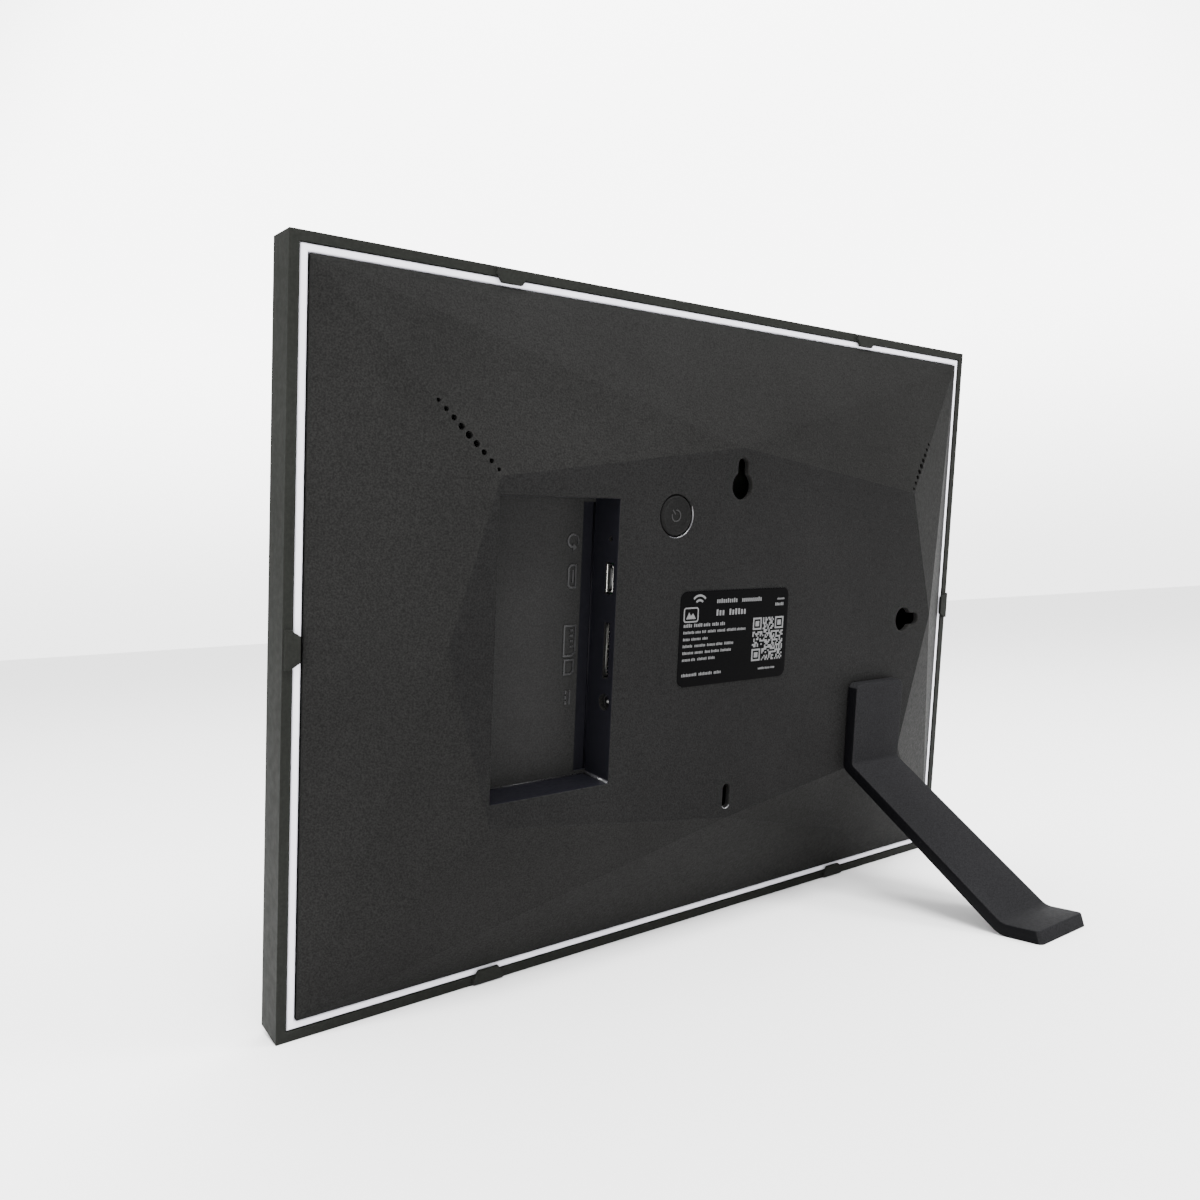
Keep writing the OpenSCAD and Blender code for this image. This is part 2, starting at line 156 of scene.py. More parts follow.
# ---------------------------------------------------------------- camera, light, floor

def camera():
    data = bpy.data.cameras.new("camera")
    data.lens = LENS
    data.shift_x, data.shift_y = SHIFT
    data.clip_start = 0.01
    ob = bpy.data.objects.new("camera", data)
    ob.location = CAMERA_PLACE
    ob.rotation_euler = [math.radians(a) for a in CAMERA_TURN]
    bpy.context.scene.collection.objects.link(ob)
    bpy.context.scene.camera = ob


def lamp(name, place, aim, size, power):
    """Square soft light, aimed at a point."""
    data = bpy.data.lights.new(name, "AREA")
    data.shape = "SQUARE"
    data.size = size
    data.energy = power
    ob = bpy.data.objects.new(name, data)
    ob.location = place
    ob.rotation_euler = (Vector(aim) - Vector(place)).to_track_quat("-Z", "Y").to_euler()
    bpy.context.scene.collection.objects.link(ob)


def eased(tree, value, source, result):
    """Takes a value from one range to another with soft ends."""
    r = tree.nodes.new("ShaderNodeMapRange")
    r.interpolation_type = "SMOOTHSTEP"
    r.inputs["From Min"].default_value, r.inputs["From Max"].default_value = source
    r.inputs["To Min"].default_value, r.inputs["To Max"].default_value = result
    tree.links.new(value, r.inputs["Value"])
    return r.outputs["Result"]


def studio():
    """A white room, brightest overhead, with a lit backdrop behind the object as the camera sees it."""
    for name, settings in LAMPS.items():
        lamp(name, **settings)
    world = bpy.data.worlds.new("studio")
    world.use_nodes = True
    tree = world.node_tree
    way = tree.nodes.new("ShaderNodeTexCoord").outputs["Generated"]
    split = tree.nodes.new("ShaderNodeSeparateXYZ")
    tree.links.new(way, split.inputs["Vector"])
    aim = tree.nodes.new("ShaderNodeVectorMath")
    aim.operation = "DOT_PRODUCT"
    tree.links.new(way, aim.inputs[0])
    aim.inputs[1].default_value = BACKDROP_WAY
    part = eased(tree, aim.outputs["Value"], BACKDROP_EDGE, (0.0, 1.0))
    backdrop = eased(tree, split.outputs["Z"], BACKDROP_HEIGHTS, (HORIZON, BACKDROP))
    room = eased(tree, split.outputs["Z"], ROOM_HEIGHTS, (ROOM, OVERHEAD))
    power = tree.nodes.new("ShaderNodeMath")
    power.operation = "MULTIPLY_ADD"
    tree.links.new(part, power.inputs[0])
    tree.links.new(backdrop, power.inputs[1])
    tree.links.new(room, power.inputs[2])
    background = tree.nodes["Background"]
    background.inputs["Color"].default_value = WHITE
    tree.links.new(power.outputs["Value"], background.inputs["Strength"])
    bpy.context.scene.world = world


def floor():
    """Pale ground that reaches far past what the camera sees."""
    mesh = bpy.data.meshes.new("floor")
    bm = bmesh.new()
    bmesh.ops.create_grid(bm, x_segments=1, y_segments=1, size=30)
    bm.to_mesh(mesh)
    bm.free()
    mesh.materials.append(floor_material())
    ob = bpy.data.objects.new("floor", mesh)
    bpy.context.scene.collection.objects.link(ob)


# ---------------------------------------------------------------- materials

def new_material(name):
    m = bpy.data.materials.new(name)
    m.use_nodes = True
    tree = m.node_tree
    return m, tree, tree.nodes["Principled BSDF"]


def floor_material():
    m, _, shader = new_material("floor")
    shader.inputs["Base Color"].default_value = (0.93, 0.93, 0.93, 1)
    shader.inputs["Roughness"].default_value = 0.9
    shader.inputs["Specular IOR Level"].default_value = 0.1
    return m


def noise(tree, coords, scale, detail=3.0, roughness=0.55):
    n = tree.nodes.new("ShaderNodeTexNoise")
    n.inputs["Scale"].default_value = scale
    n.inputs["Detail"].default_value = detail
    n.inputs["Roughness"].default_value = roughness
    tree.links.new(coords, n.inputs["Vector"])
    return n.outputs["Fac"]


def ramp(tree, fac, low, high, at=NOISE_RANGE):
    """Spreads a noise value between two colours."""
    r = tree.nodes.new("ShaderNodeValToRGB")
    r.color_ramp.elements[0].position, r.color_ramp.elements[1].position = at
    r.color_ramp.elements[0].color = (*low, 1)
    r.color_ramp.elements[1].color = (*high, 1)
    tree.links.new(fac, r.inputs["Fac"])
    return r.outputs["Color"]


def level(tree, fac, low, high):
    """Spreads a noise value between two numbers."""
    r = tree.nodes.new("ShaderNodeMapRange")
    r.inputs["From Min"].default_value, r.inputs["From Max"].default_value = NOISE_RANGE
    r.inputs["To Min"].default_value = low
    r.inputs["To Max"].default_value = high
    tree.links.new(fac, r.inputs["Value"])
    return r.outputs["Result"]


def times(tree, first, second):
    """Product of two colours."""
    m = tree.nodes.new("ShaderNodeMix")
    m.data_type = "RGBA"
    m.blend_type = "MULTIPLY"
    m.inputs["Factor"].default_value = 1
    # Inputs 6 and 7 and output 2 are the colour ones
    tree.links.new(first, m.inputs[6])
    tree.links.new(second, m.inputs[7])
    return m.outputs[2]


def bump(tree, heights, shader):
    """Chains one bump for each pair of height and strength."""
    last = None
    for height, strength in heights:
        b = tree.nodes.new("ShaderNodeBump")
        b.inputs["Strength"].default_value = strength
        b.inputs["Distance"].default_value = GRAIN_HEIGHT
        tree.links.new(height, b.inputs["Height"])
        if last:
            tree.links.new(last, b.inputs["Normal"])
        last = b.outputs["Normal"]
    tree.links.new(last, shader.inputs["Normal"])


def surface(name, color, spread=0.12, rough=(0.4, 0.5), grain=1500, depth=0.25, metallic=0.0,
            specular=0.5, speckle=0.0):
    """Moulded, sheet or film surface: grain of the tool, faint blotches in colour and in shine.

    spread and speckle say how far the colour varies, rough is the range of the roughness, grain the
    scale of the texture and depth the strength of its bumps.
    """
    m, tree, shader = new_material(name)
    coords = tree.nodes.new("ShaderNodeTexCoord").outputs["Object"]
    wide = noise(tree, coords, BLOTCH, 4)
    fine = noise(tree, coords, grain, 2, 0.6)
    coarse = noise(tree, coords, grain * 0.35, 2)
    low = [max(0, c * (1 - spread)) for c in color]
    high = [min(1, c * (1 + spread)) for c in color]
    tone = ramp(tree, wide, low, high)
    if speckle:
        spots = ramp(tree, fine, [1 - speckle] * 3, [1 + speckle] * 3, at=SPECKLE_RANGE)
        tone = times(tree, tone, spots)
    tree.links.new(tone, shader.inputs["Base Color"])
    tree.links.new(level(tree, coarse, *rough), shader.inputs["Roughness"])
    bump(tree, [(fine, depth), (coarse, depth * 0.6)], shader)
    shader.inputs["Metallic"].default_value = metallic
    shader.inputs["Specular IOR Level"].default_value = specular
    return m


def glass_material():
    m, tree, shader = new_material("glass")
    coords = tree.nodes.new("ShaderNodeTexCoord").outputs["Object"]
    smudge = noise(tree, coords, SMUDGE, 5)
    tree.links.new(level(tree, smudge, 0.01, 0.035), shader.inputs["Roughness"])
    shader.inputs["Base Color"].default_value = (0.96, 0.98, 0.98, 1)
    shader.inputs["Transmission Weight"].default_value = 1
    shader.inputs["IOR"].default_value = 1.02
    shader.inputs["Coat Weight"].default_value = 0.25
    return m


FINISHES = {
    "frame_plastic": dict(color=(0.0105, 0.011, 0.0098), rough=(0.5, 0.6), grain=1300, specular=0.025,
                          speckle=0.12),
    # The cover's sloping faces are painted a little lighter, and its plateau (two lines down) darker, than the one
    # moulding they are: painted light and painted shade.
    "cover_plastic": dict(color=(0.0092, 0.0092, 0.0089), rough=(0.45, 0.58), grain=2300, depth=0.9,
                          specular=0.014, speckle=0.32),
    "plateau_painted_shade": dict(color=(0.008, 0.008, 0.0079), rough=(0.45, 0.58), grain=2300, depth=0.9,
                          specular=0.014, speckle=0.32),
    "button_plastic": dict(color=(0.0056, 0.0056, 0.0055), rough=(0.45, 0.55), grain=2300, depth=0.6,
                           specular=0.02, speckle=0.25),
    "stand_plastic": dict(color=(0.0096, 0.0096, 0.0102), rough=(0.45, 0.55), grain=2300, depth=0.7,
                          specular=0.004, speckle=0.25),
    # Darker copy of the stand's plastic for its narrow sides: painted shade.
    "stand_side_painted_shade": dict(color=(0.002, 0.002, 0.0024), rough=(0.3, 0.4), grain=2300, depth=0.2,
                       specular=0.03),
    "white_plastic": dict(color=(0.76, 0.745, 0.82), spread=0.03, rough=(0.35, 0.45), depth=0.1),
    "mat_white": dict(color=(0.86, 0.86, 0.87), spread=0.03, rough=(0.8, 0.95), grain=2500),
    "display": dict(color=(0.006, 0.0065, 0.008), rough=(0.16, 0.22), depth=0.0, specular=0.08),
    "foam": dict(color=(0.03, 0.03, 0.03), rough=(0.9, 1.0), grain=2600, depth=0.9),
    "clear_plastic": dict(color=(0.8, 0.84, 0.86), spread=0.03, rough=(0.1, 0.2)),
    "board_white": dict(color=(0.8, 0.8, 0.76), spread=0.04),
    "steel": dict(color=(0.32, 0.32, 0.31), rough=(0.42, 0.56), metallic=1.0, grain=900),
    "screw_steel": dict(color=(0.45, 0.45, 0.45), rough=(0.3, 0.4), metallic=1.0),
    "switch_plastic": dict(color=(0.02, 0.02, 0.02), rough=(0.4, 0.5)),
    "plunger_plastic": dict(color=(0.62, 0.6, 0.52), rough=(0.35, 0.45)),
    "board_green": dict(color=(0.015, 0.1, 0.045), rough=(0.3, 0.4), grain=900),
    "port_metal": dict(color=(0.6, 0.59, 0.56), rough=(0.2, 0.3), metallic=1.0, grain=2500, depth=0.1),
    "port_dark": dict(color=(0.1, 0.1, 0.095), rough=(0.3, 0.4), metallic=1.0, grain=2500),
    "jack_plastic": dict(color=(0.012, 0.012, 0.012), rough=(0.3, 0.4)),
    "flex_film": dict(color=(0.42, 0.2, 0.04), rough=(0.25, 0.35)),
    "lead_red": dict(color=(0.4, 0.02, 0.02), rough=(0.4, 0.5)),
    "lead_black": dict(color=(0.015, 0.015, 0.015), rough=(0.4, 0.5)),
    "label_film": dict(color=(0.001, 0.001, 0.0011), rough=(0.28, 0.34), grain=3000, depth=0.05,
                       specular=0.01),
    "print": dict(color=(0.055, 0.055, 0.057), spread=0.05, rough=(0.4, 0.5), depth=0.05),
    # Darker, glossier copy of the cover for the bay's walls and groove: a glossier finish, with painted shade in
    # the recess.
    "bay_polished_painted_shade": dict(color=(0.0046, 0.0046, 0.0062), rough=(0.3, 0.38), grain=2200, depth=0.03,
                           specular=0.09),
    "mark_polished": dict(color=(0.014, 0.014, 0.0145), rough=(0.25, 0.35), grain=2200, depth=0.03,
                          specular=0.2),
    # Lighter copy of the cover's plastic for the bay's floor: painted light in the recess.
    "bay_floor": dict(color=(0.0125, 0.0125, 0.0123), rough=(0.45, 0.58), grain=2300, depth=0.6,
                      specular=0.03, speckle=0.2),
    "button_mark": dict(color=(0.016, 0.016, 0.016), rough=(0.3, 0.4), depth=0.1, specular=0.08),
    # Bright, glossy copy of the plastic put only where a highlight should show: a painted highlight.
    "painted_highlight_gloss": dict(color=(0.03, 0.03, 0.033), rough=(0.18, 0.26), depth=0.02, specular=1.0),
    "contact_gold": dict(color=(0.75, 0.52, 0.2), rough=(0.2, 0.3), metallic=1.0, depth=0.1),
}
MATERIALS = {name: surface(name, **finish) for name, finish in FINISHES.items()}
MATERIALS["glass"] = glass_material()


# ---------------------------------------------------------------- mesh helpers

def shade(ob, angle):
    """Smooth shading that keeps edges sharper than the angle."""
    mesh = ob.data
    limit = math.radians(angle)
    bm = bmesh.new()
    bm.from_mesh(mesh)
    sharp = [len(e.link_faces) == 2 and e.calc_face_angle(0) > limit for e in bm.edges]
    bm.free()
    mesh.polygons.foreach_set("use_smooth", [True] * len(mesh.polygons))
    attribute = mesh.attributes.get("sharp_edge") or mesh.attributes.new("sharp_edge", "BOOLEAN", "EDGE")
    attribute.data.foreach_set("value", sharp)


def add_piece(name, bm, slot, finish=None, body="frame", replaces=None, angle=35):
    """Adds a piece in its slot's material, or in another finish, and returns it."""
    mesh = bpy.data.meshes.new(name)
    bm.to_mesh(mesh)
    bm.free()
    ob = bpy.data.objects.new(name, mesh)
    mesh.materials.append(MATERIALS[finish or slot])
    bpy.context.scene.collection.objects.link(ob)
    shade(ob, angle)
    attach(ob, body)
    if replaces:
        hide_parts(replaces)
    return ob


def finish_faces(ob, finishes, choose):
    """Gives faces another finish: choose() names it, or None, from a face's middle and normal."""
    for finish in finishes:
        ob.data.materials.append(MATERIALS[finish])
    for face in ob.data.polygons:
        finish = choose(TO_LOCAL @ face.center, (TO_LOCAL.to_3x3() @ face.normal).normalized())
        if finish:
            face.material_index = finishes.index(finish) + 1


def dress_nodes():
    """Gives every CAD node the material of its slot."""
    slots = {s["node"]: s["material_slot"] for s in frame["record"]["subparts"]}
    for name, ob in nodes.items():
        ob.data.materials.clear()
        ob.data.materials.append(MATERIALS[slots[name]])
        shade(ob, 30)


def cleaned(node):
    """A copy of a CAD node's mesh with its triangles joined into flat faces."""
    bm = bmesh.new()
    bm.from_mesh(nodes[node].data)
    bmesh.ops.remove_doubles(bm, verts=bm.verts, dist=0.002 * MM)
    bmesh.ops.dissolve_limit(bm, angle_limit=math.radians(0.4), verts=bm.verts, edges=bm.edges)
    return bm


def soften(bm, width, low, high=180, segments=3, choose=None, clamp=True):
    """Rounds the chosen edges whose faces meet at an angle between low and high degrees."""
    edges = [e for e in bm.edges if len(e.link_faces) == 2
             and math.radians(low) < e.calc_face_angle(0) < math.radians(high)
             and (choose is None or choose(*[TO_LOCAL @ v.co for v in e.verts]))]
    bmesh.ops.bevel(bm, geom=edges, offset=width * MM, segments=segments, profile=0.5,
                    affect="EDGES", clamp_overlap=clamp)


# ---------------------------------------------------------------- shapes, in the frame's own millimetres

def band(bm, a, b):
    """Faces between two closed rows of points."""
    for k in range(len(a)):
        m = (k + 1) % len(a)
        bm.faces.new((a[k], a[m], b[m], b[k]))


def prism(bm, outline, low, high, turn=Matrix()):
    """Closed plate between two heights on a counter-clockwise outline."""
    bottom = [bm.verts.new(turn @ Vector((x, y, low))) for x, y in outline]
    top = [bm.verts.new(turn @ Vector((x, y, high))) for x, y in outline]
    bm.faces.new(reversed(bottom))
    bm.faces.new(top)
    band(bm, bottom, top)


def ribbon(bm, points, width, low, high, closed=False, turn=Matrix()):
    """Flat raised line of even width along the points."""
    points = [Vector(p) for p in points]
    count = len(points)
    rows = []
    for i, p in enumerate(points):
        ways = []
        if closed or i:
            ways.append((p - points[i - 1]).normalized())
        if closed or i < count - 1:
            ways.append((points[(i + 1) % count] - p).normalized())
        along = sum(ways, Vector((0, 0))).normalized()
        out = Vector((-along.y, along.x))
        square = Vector((-ways[0].y, ways[0].x))
        reach = out * (width / 2 / max(0.4, out.dot(square)))
        corners = ((p + reach, low), (p - reach, low), (p - reach, high), (p + reach, high))
        rows.append([bm.verts.new(turn @ Vector((*q, z))) for q, z in corners])
    if not closed:
        bm.faces.new(rows[0][::-1])
        bm.faces.new(rows[-1])
    for a, b in zip(rows, rows[1:]):
        band(bm, a, b)
    if closed:
        band(bm, rows[-1], rows[0])


def lathe(bm, profile, turn=Matrix(), segments=64):
    """Surface of revolution through (radius, height) points, first to last up the outside."""
    rings = []
    for radius, height in profile:
        ring = []
        for k in range(segments if radius > 0 else 1):
            angle = math.tau * k / segments
            point = Vector((radius * math.cos(angle), radius * math.sin(angle), height))
            ring.append(bm.verts.new(turn @ point))
        rings.append(ring)
    for a, b in zip(rings, rings[1:]):
        for k in range(segments):
            m = (k + 1) % segments
            corners = (a[k % len(a)], a[m % len(a)], b[m % len(b)], b[k % len(b)])
            bm.faces.new(tuple(dict.fromkeys(corners)))


def arc(centre, radius, start, end, steps):
    """Points on a circle between two angles in degrees."""
    angles = [math.radians(start + (end - start) * k / steps) for k in range(steps + 1)]
    return [(centre[0] + radius * math.cos(a), centre[1] + radius * math.sin(a)) for a in angles]


def box_outline(x0, y0, x1, y1):
    return [(x0, y0), (x1, y0), (x1, y1), (x0, y1)]


def rounded(x0, y0, x1, y1, r):
    """Outline of a rectangle with round corners."""
    centres = box_outline(x0 + r, y0 + r, x1 - r, y1 - r)
    corners = zip(centres[1:] + centres[:1], (-90, 0, 90, 180))
    return [p for centre, start in corners for p in arc(centre, r, start, start + 90, 5)]


def placed(bm):
    """Turns what was drawn in the frame's own millimetres into the scene."""
    bmesh.ops.recalc_face_normals(bm, faces=bm.faces)
    bmesh.ops.transform(bm, matrix=TO_SCENE, verts=bm.verts)
    return bm


def wall_turn(y):
    """Axes on the bay's port wall: first up the frame, then towards the display, then out of the wall."""
    turn = Matrix(((0, 0, -1), (1, 0, 0), (0, -1, 0))).to_4x4()
    return Matrix.Translation((BAY_RIGHT, y, PORT_Z)) @ turn


# ---------------------------------------------------------------- the housing

def make_outer_frame():
    bm = cleaned("outer_frame")
    soften(bm, width=0.3, low=40)
    add_piece("outer_frame_shell", bm, "frame_plastic", replaces="outer_frame", angle=12)


def make_inner_frame():
    bm = cleaned("inner_frame")
    soften(bm, width=0.45, low=60, choose=lambda a, b: min(a.z, b.z) > -1)
    add_piece("inner_frame_ring", bm, "white_plastic", replaces="inner_frame", angle=12)


def on_plateau(p):
    return abs(p.z - PLATEAU) < 0.02


def around_opening(a, b):
    """True for an edge that lies on the plateau at both ends."""
    return on_plateau(a) and on_plateau(b)


def in_bay(p):
    return (BAY_LEFT - NEAR < p.x < BAY_RIGHT + NEAR and BAY_BOTTOM - NEAR < p.y < BAY_TOP + NEAR
            and p.z < PLATEAU + NEAR)


def painted_highlight_rim(p):
    """True where a painted highlight goes on two rims: lower right of the button, lower end of the hanging slot.
    """
    out = p.xy - Vector(BUTTON)
    button_side = out.length < 7 and out.x - out.y > 3.5
    slot_end = abs(p.x) < 2 and SLOT_Y - 5 < p.y < SLOT_Y - 3
    return button_side or slot_end


def cover_finish(p, normal):
    """Finish of a face of the rear cover: bay walls and groove glossier and painted darker as shade, bay floor
    painted lighter, painted highlights on parts of two rims, and plateau painted darker as shade.
    """
    steep = abs(normal.z) < 0.75
    groove = p.x > BAY_RIGHT - GROOVE_WIDTH and p.z < BAY_FLOOR - NEAR
    # Bay walls and groove: a glossier finish with painted shade in the recess.
    if in_bay(p) and p.z > BAY_FLOOR - 2 and (steep or groove):
        return "bay_polished_painted_shade"
    # Bay floor: painted lighter than the cover, as light in the recess.
    if in_bay(p) and abs(p.z - BAY_FLOOR) < NEAR:
        return "bay_floor"
    # Painted highlight on parts of the button's and the slot's rims.
    if PLATEAU - RIM_DEPTH < p.z < PLATEAU - 0.01 and painted_highlight_rim(p):
        return "painted_highlight_gloss"
    # The plateau is painted darker than the sloping faces, as shade.
    if on_plateau(p):
        return "plateau_painted_shade"
    return None


def make_rear_cover():
    """The cover, with softened rims round its openings on the plateau."""
    bm = cleaned("rear_cover")
    soften(bm, width=0.28, low=60, high=120, choose=around_opening, clamp=False)
    ob = add_piece("rear_cover_shell", bm, "cover_plastic", replaces="rear_cover", angle=3)
    # Bay walls and groove painted darker as shade, bay floor painted lighter, painted highlights on two rims,
    # plateau painted darker as shade.
    finish_faces(ob, ["bay_polished_painted_shade", "bay_floor", "painted_highlight_gloss", "plateau_painted_shade"], cover_finish)


def make_button():
    """Cap with a raised rim and a dished top, and the power sign in the dish."""
    at = Matrix.Translation((*BUTTON, 0))
    profile = ((0, 13.4), (1.5, 13.4), (1.5, 13.6), (6.9, 13.6), (6.9, 14.6), (5.8, 14.6), (5.8, 15.8),
               (5.76, 16.05), (5.64, 16.3), (5.44, 16.5), (5.15, 16.62), (4.85, 16.65), (4.6, 16.6),
               (4.3, 16.48), (3.9, 16.38), (3.2, 16.32), (1.8, 16.28), (0, 16.26))
    bm = bmesh.new()
    lathe(bm, profile, at)
    add_piece("power_button_cap", placed(bm), "button_plastic", body="power_button", replaces="power_button")
    line, low, high = 0.32, 16.25, 16.4
    tilted = at @ Matrix.Rotation(math.radians(40), 4, "Z")
    bm = bmesh.new()
    ribbon(bm, arc((0, 0), 1.6, 125, 415, 28), line, low, high, turn=tilted)
    ribbon(bm, [(0, 0.5), (0, 2.1)], line, low, high, turn=tilted)
    add_piece("power_button_mark", placed(bm), "button_plastic", "button_mark", body="power_button")


# ---------------------------------------------------------------- the bay

def mark_turn(y):
    """Place of a pictogram beside the ports, read from the side."""
    return Matrix.Translation((MARKS_X, y, 0)) @ Matrix.Rotation(math.radians(-90), 4, "Z")


def make_bay_marks():
    """Raised pictograms beside the ports: reset, data plug, card and power inlet."""
    line, low, high = 0.5, BAY_FLOOR - SINK, BAY_FLOOR + 0.3
    bm = bmesh.new()
    # Reset: an open circle with an arrow head
    at = mark_turn(RESET_Y - 1)
    ribbon(bm, arc((0, 0), 1.75, 60, 360, 24), line, low, high, turn=at)
    prism(bm, [(0.75, -0.05), (2.75, -0.05), (1.75, 1.25)], low, high, at)
    # Data plug: its outline, and the tongue inside
    at = mark_turn(USB_Y)
    plug = [(-3.1, 1.2), (-3.1, -0.5), (-2.3, -1.2), (2.3, -1.2), (3.1, -0.5), (3.1, 1.2)]
    ribbon(bm, plug, line, low, high, closed=True, turn=at)
    ribbon(bm, [(-1.7, 0.25), (1.7, 0.25)], line, low, high, turn=at)
    # Card: its outline with a cut corner and four contacts, and a smaller card below it
    at = mark_turn(CARD_Y + 2)
    card = [(-4.2, -1.9), (4.2, -1.9), (4.2, 0.8), (3.2, 1.9), (-4.2, 1.9)]
    ribbon(bm, card, line, low, high, closed=True, turn=at)
    for k in range(4):
        ribbon(bm, [(-2.9 + k * 1.5, 0.1), (-2.9 + k * 1.5, 1.1)], line, low, high, turn=at)
    at = mark_turn(CARD_Y - 5.4)
    small_card = [(-2, -1.5), (2, -1.5), (2, 0.6), (1.2, 1.5), (-2, 1.5)]
    ribbon(bm, small_card, 0.45, low, high, closed=True, turn=at)
    # Direct current: a line over three dashes
    at = mark_turn(DC_Y + 0.5)
    ribbon(bm, [(-2, 0.7), (2, 0.7)], line, low, high, turn=at)
    for x in (-1.5, 0, 1.5):
        ribbon(bm, [(x - 0.45, -0.7), (x + 0.45, -0.7)], line, low, high, turn=at)
    add_piece("bay_marks", placed(bm), "cover_plastic", "mark_polished")


def make_bay_fillets():
    """Small fillets where the bay's walls, floor and groove meet, which catch the light; the corner one is painted
    bright as a highlight line, those along the groove carry the bay's painted shade.
    """
    x, y = BAY_RIGHT, BAY_BOTTOM
    size = 0.8
    outline = [(x + SINK, y - SINK), (x + SINK, y + size), (x - size, y - SINK)]
    bm = bmesh.new()
    prism(bm, outline, BAY_FLOOR, PLATEAU - RIM_DEPTH)
    # The corner fillet is bright and glossy: a painted highlight line.
    add_piece("bay_corner", placed(bm), "cover_plastic", "painted_highlight_gloss")
    # Along the groove: outlines in x and z, drawn along -y between the ends of the bay
    turn = Matrix(((1, 0, 0), (0, 0, -1), (0, 1, 0))).to_4x4()
    bottom, clear = BAY_FLOOR - GROOVE_DEPTH, 1.3
    bm = bmesh.new()
    for wall, reach in ((x, -0.45), (x - GROOVE_WIDTH, 0.3)):
        outline = [(wall, bottom - SINK), (wall, bottom + abs(reach)), (wall + reach, bottom - SINK)]
        prism(bm, outline, -(BAY_TOP - clear), -(BAY_BOTTOM + clear), turn)
    add_piece("groove_fillets", placed(bm), "cover_plastic", "bay_polished_painted_shade")
    # Along the lower wall: an outline in y and z, drawn along x
    turn = Matrix(((0, 0, 1), (1, 0, 0), (0, 1, 0))).to_4x4()
    low, size = BAY_FLOOR - SINK, 0.4
    outline = [(y - SINK, low), (y + size, low), (y - SINK, BAY_FLOOR + size)]
    bm = bmesh.new()
    prism(bm, outline, BAY_LEFT + 0.1, BAY_RIGHT - 0.1, turn)
    add_piece("bay_fillets", placed(bm), "cover_plastic", "mark_polished")


def make_usb_port():
    """Folded metal shell with its inside painted dark as shade, its tongue and five contacts."""
    turn = wall_turn(USB_Y)
    outer = [(-3.95, 1.4), (-3.95, -0.5), (-3.1, -1.4), (3.1, -1.4), (3.95, -0.5), (3.95, 1.4)]
    # Closed section of the shell, from its mouth inwards and back: shrinkage of the outline, and height
    section = ((0, -0.35), (0.08, -0.25), (0.16, -0.3), (0.3, -0.8), (0.34, -5.8), (0.05, -6.3))
    bm = bmesh.new()
    rows = []
    for inset, height in section:
        shrunk = [(x - math.copysign(inset, x), y - math.copysign(inset, y), height) for x, y in outer]
        rows.append([bm.verts.new(turn @ Vector(p)) for p in shrunk])
    for a, b in zip(rows, rows[1:] + rows[:1]):
        band(bm, a, b)
    prism(bm, [(x * 0.86, y * 0.7) for x, y in outer], -6.2, -5.6, turn)
    ob = add_piece("usb_shell", placed(bm), "port_metal", replaces="usb_port")
    # Inside the shell the metal is painted dark: painted shade in the recess.
    finish_faces(ob, ["port_dark"], lambda p, normal: "port_dark" if p.x > BAY_RIGHT + 0.5 else None)
    bm = bmesh.new()
    prism(bm, box_outline(-2.9, 0.05, 2.9, 0.86), -5.7, -0.8, turn)
    add_piece("usb_tongue", placed(bm), "jack_plastic")
    bm = bmesh.new()
    for k in range(5):
        prism(bm, box_outline(-2.0 + k * 0.9, -0.07, -1.6 + k * 0.9, 0.07), -5.6, -1.6, turn)
    add_piece("usb_contacts", placed(bm), "port_metal", "contact_gold")


def make_power_inlet():
    """The pin inside the round power inlet."""
    profile = ((0, -9.2), (0.6, -9.2), (0.6, -1.6), (0.52, -1.3), (0.34, -1.14), (0, -1.1))
    bm = bmesh.new()
    lathe(bm, profile, wall_turn(DC_Y), 32)
    add_piece("dc_pin", placed(bm), "port_metal", "steel")


def make_card_slot():
    """Metal lip in the slot's mouth, and eight contacts deep inside."""
    turn = wall_turn(CARD_Y)
    bm = bmesh.new()
    prism(bm, box_outline(-7.4, 0.86, 7.4, 1.14), -1.3, -0.7, turn)
    add_piece("card_lip", placed(bm), "port_metal", "port_dark")
    bm = bmesh.new()
    for k in range(8):
        prism(bm, box_outline(-4.4 + k * 1.1, 0.45, -3.85 + k * 1.1, 0.6), -9.5, -5, turn)
    add_piece("card_contacts", placed(bm), "port_metal", "contact_gold")


# ---------------------------------------------------------------- the label

# Lowest and highest level of the print, and lines of words as left end, middle, right end and height of the
# line, then the shortest word, the longest word and the gap
PRINT_LOW = LABEL_Z - 0.02
PRINT_HIGH = LABEL_Z + 0.03
HEADING = (
    (-8.2, 10.7, 1.2, 1.5, 8, 9, 0.8),
    (2.2, 10.7, 11.2, 1.5, 8, 9, 0.8),
    (-8.2, 7.2, -3.8, 2.1, 3.4, 4, 0.7),
    (-2.9, 7.2, 5.2, 2.1, 6.5, 7.4, 0.7),
    (17.6, 10.5, 21.2, 0.7, 2.8, 3.4, 0.4),
    (16.8, 8.8, 21.2, 1.1, 3.4, 4.2, 0.4),
)
SMALL_LINE_ENDS = (-4.2, 4.6, -9.6, 1.4, 0.6, -6.8)
FOOTER = (
    (-21, -10.6, -1.5, 1.05, 2.6, 6.2, 0.7),
    (10.6, -10.9, 19.2, 0.8, 1.6, 2.8, 0.45),
)


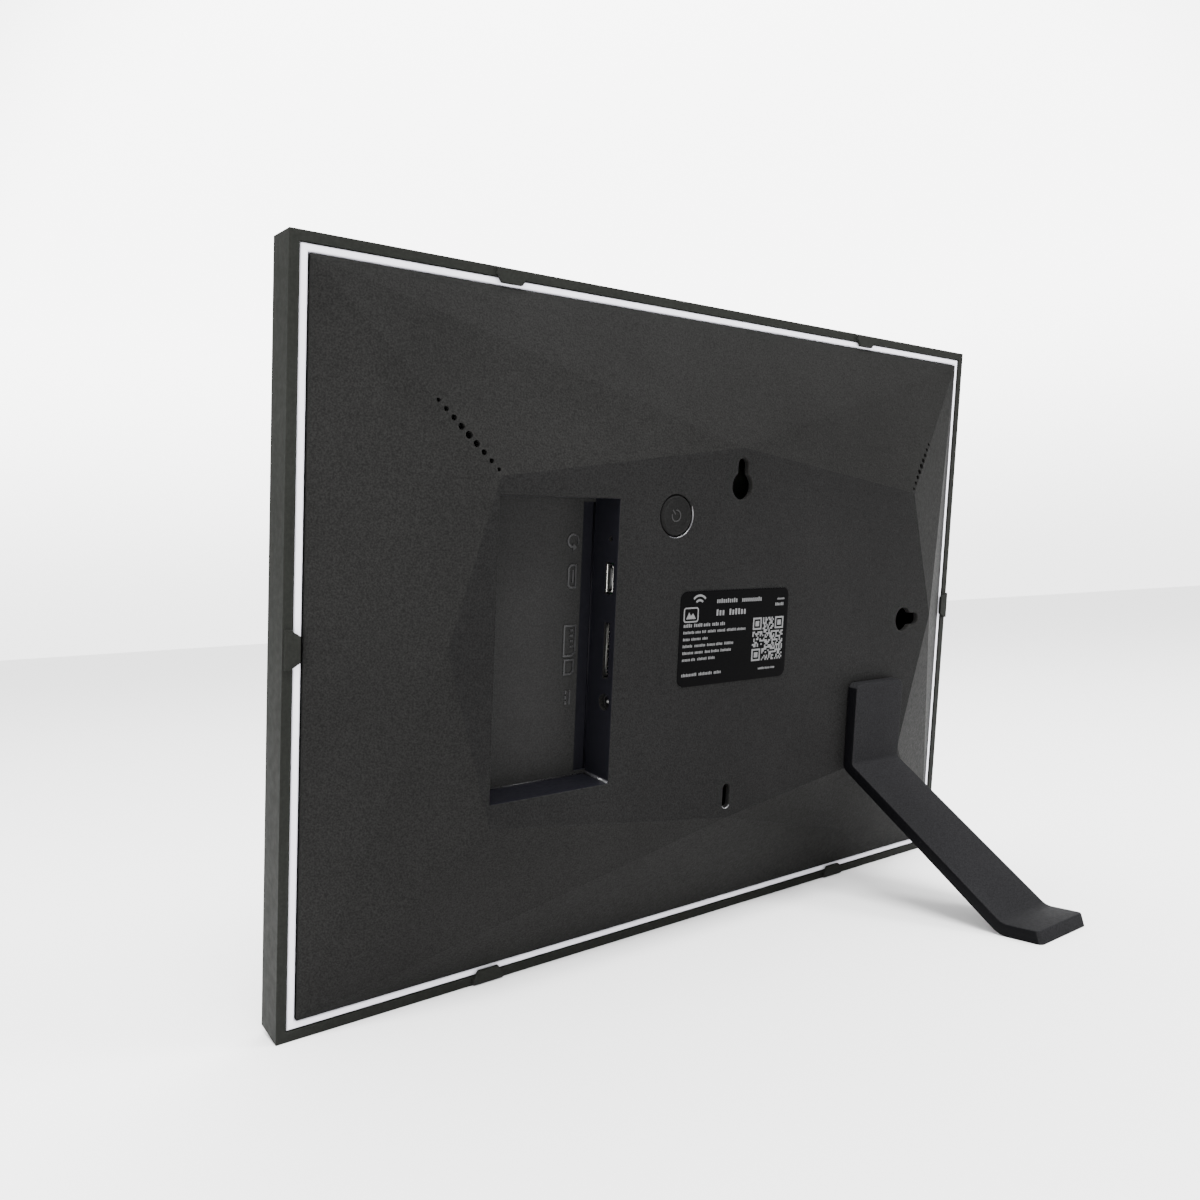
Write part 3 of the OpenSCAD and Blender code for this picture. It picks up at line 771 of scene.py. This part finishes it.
def print_words(bm, at, left, y, right, height, shortest, longest, gap):
    """A line of words made of plain upright dashes, some of them taller."""
    dash = height * 0.34
    pitch = dash * 1.7
    drop = height * 0.36
    while left < right - shortest:
        width = min(random.uniform(shortest, longest), right - left)
        for k in range(max(2, round(width / pitch))):
            tall = height * random.choice((0.36, 0.36, 0.5))
            x = left + k * pitch
            prism(bm, box_outline(x, y - drop, x + dash, y + tall), PRINT_LOW, PRINT_HIGH, at)
        left += width + gap


def print_signs(bm, at):
    """A wireless sign over a picture sign."""
    for radius in (1.7, 3.1):
        ribbon(bm, arc((-15.2, 9.6), radius, 42, 138, 12), 0.62, PRINT_LOW, PRINT_HIGH, turn=at)
    border = rounded(-21, 5.1, -15.6, 9.1, 0.7)
    ribbon(bm, border, 0.42, PRINT_LOW, PRINT_HIGH, closed=True, turn=at)
    hills = [(-20.2, 5.9), (-16.4, 5.9), (-17.6, 7.6), (-18.4, 6.8), (-19.1, 7.9)]
    prism(bm, hills, PRINT_LOW, PRINT_HIGH, at)


def print_pattern(bm, at):
    """Made-up pattern of squares with three framed corners, as runs of cells in each row."""
    cells, size = 25, 13.4
    step = size / cells
    left, bottom = 7.4, -8.4
    for row in range(cells):
        y = bottom + row * step
        run = None
        for col in range(cells + 1):
            corner = (row > 16 or row < 8) and (col < 8 or (col > 16 and row > 16))
            on = col < cells and not corner and random.random() < 0.5
            if on and run is None:
                run = col
            if not on and run is not None:
                bar = box_outline(left + run * step, y, left + col * step, bottom + (row + 0.97) * step)
                prism(bm, bar, PRINT_LOW, PRINT_HIGH, at)
                run = None
    for col, row in ((3.5, 3.5), (3.5, 21.5), (21.5, 21.5)):
        x, y = left + col * step, bottom + row * step
        r = 3 * step
        border = box_outline(x - r, y - r, x + r, y + r)
        ribbon(bm, border, step, PRINT_LOW, PRINT_HIGH, closed=True, turn=at)
        r = 1.5 * step
        prism(bm, box_outline(x - r, y - r, x + r, y + r), PRINT_LOW, PRINT_HIGH, at)


def make_print():
    """Generic print on the label, with no words that can be read."""
    at = Matrix.Translation((*LABEL, 0))
    bm = bmesh.new()
    print_signs(bm, at)
    for line in HEADING:
        print_words(bm, at, *line)
    for k, right in enumerate(SMALL_LINE_ENDS):
        height = 0.95 if k else 1.2
        print_words(bm, at, -21, 3.9 - 2.0 * k, right, height, 1.6, 4.6, 0.55)
    for line in FOOTER:
        print_words(bm, at, *line)
    print_pattern(bm, at)
    add_piece("label_print", placed(bm), "label_film", "print")


# ---------------------------------------------------------------- the stand

def make_stand():
    """The bent strip, with the corners of its foot rounded and its narrow sides painted darker, as shade."""
    foot = rear_end("stand") - 4

    def foot_corner(a, b):
        return min(a.z, b.z) > foot and abs(a.x - b.x) < 0.1 and (a - b).length < 5

    bm = cleaned("stand")
    soften(bm, width=1.5, low=0, segments=4, choose=foot_corner, clamp=False)
    soften(bm, width=0.4, low=30)
    ob = add_piece("stand_strip", bm, "stand_plastic", body="stand", replaces="stand")
    # The narrow sides get a darker copy of the plastic: painted shade.
    finish_faces(ob, ["stand_side_painted_shade"], lambda p, normal: "stand_side_painted_shade" if abs(normal.x) > 0.9 else None)


camera()
studio()
floor()
dress_nodes()
make_outer_frame()
make_inner_frame()
make_rear_cover()
make_button()
make_bay_marks()
make_bay_fillets()
make_usb_port()
make_power_inlet()
make_card_slot()
make_print()
make_stand()
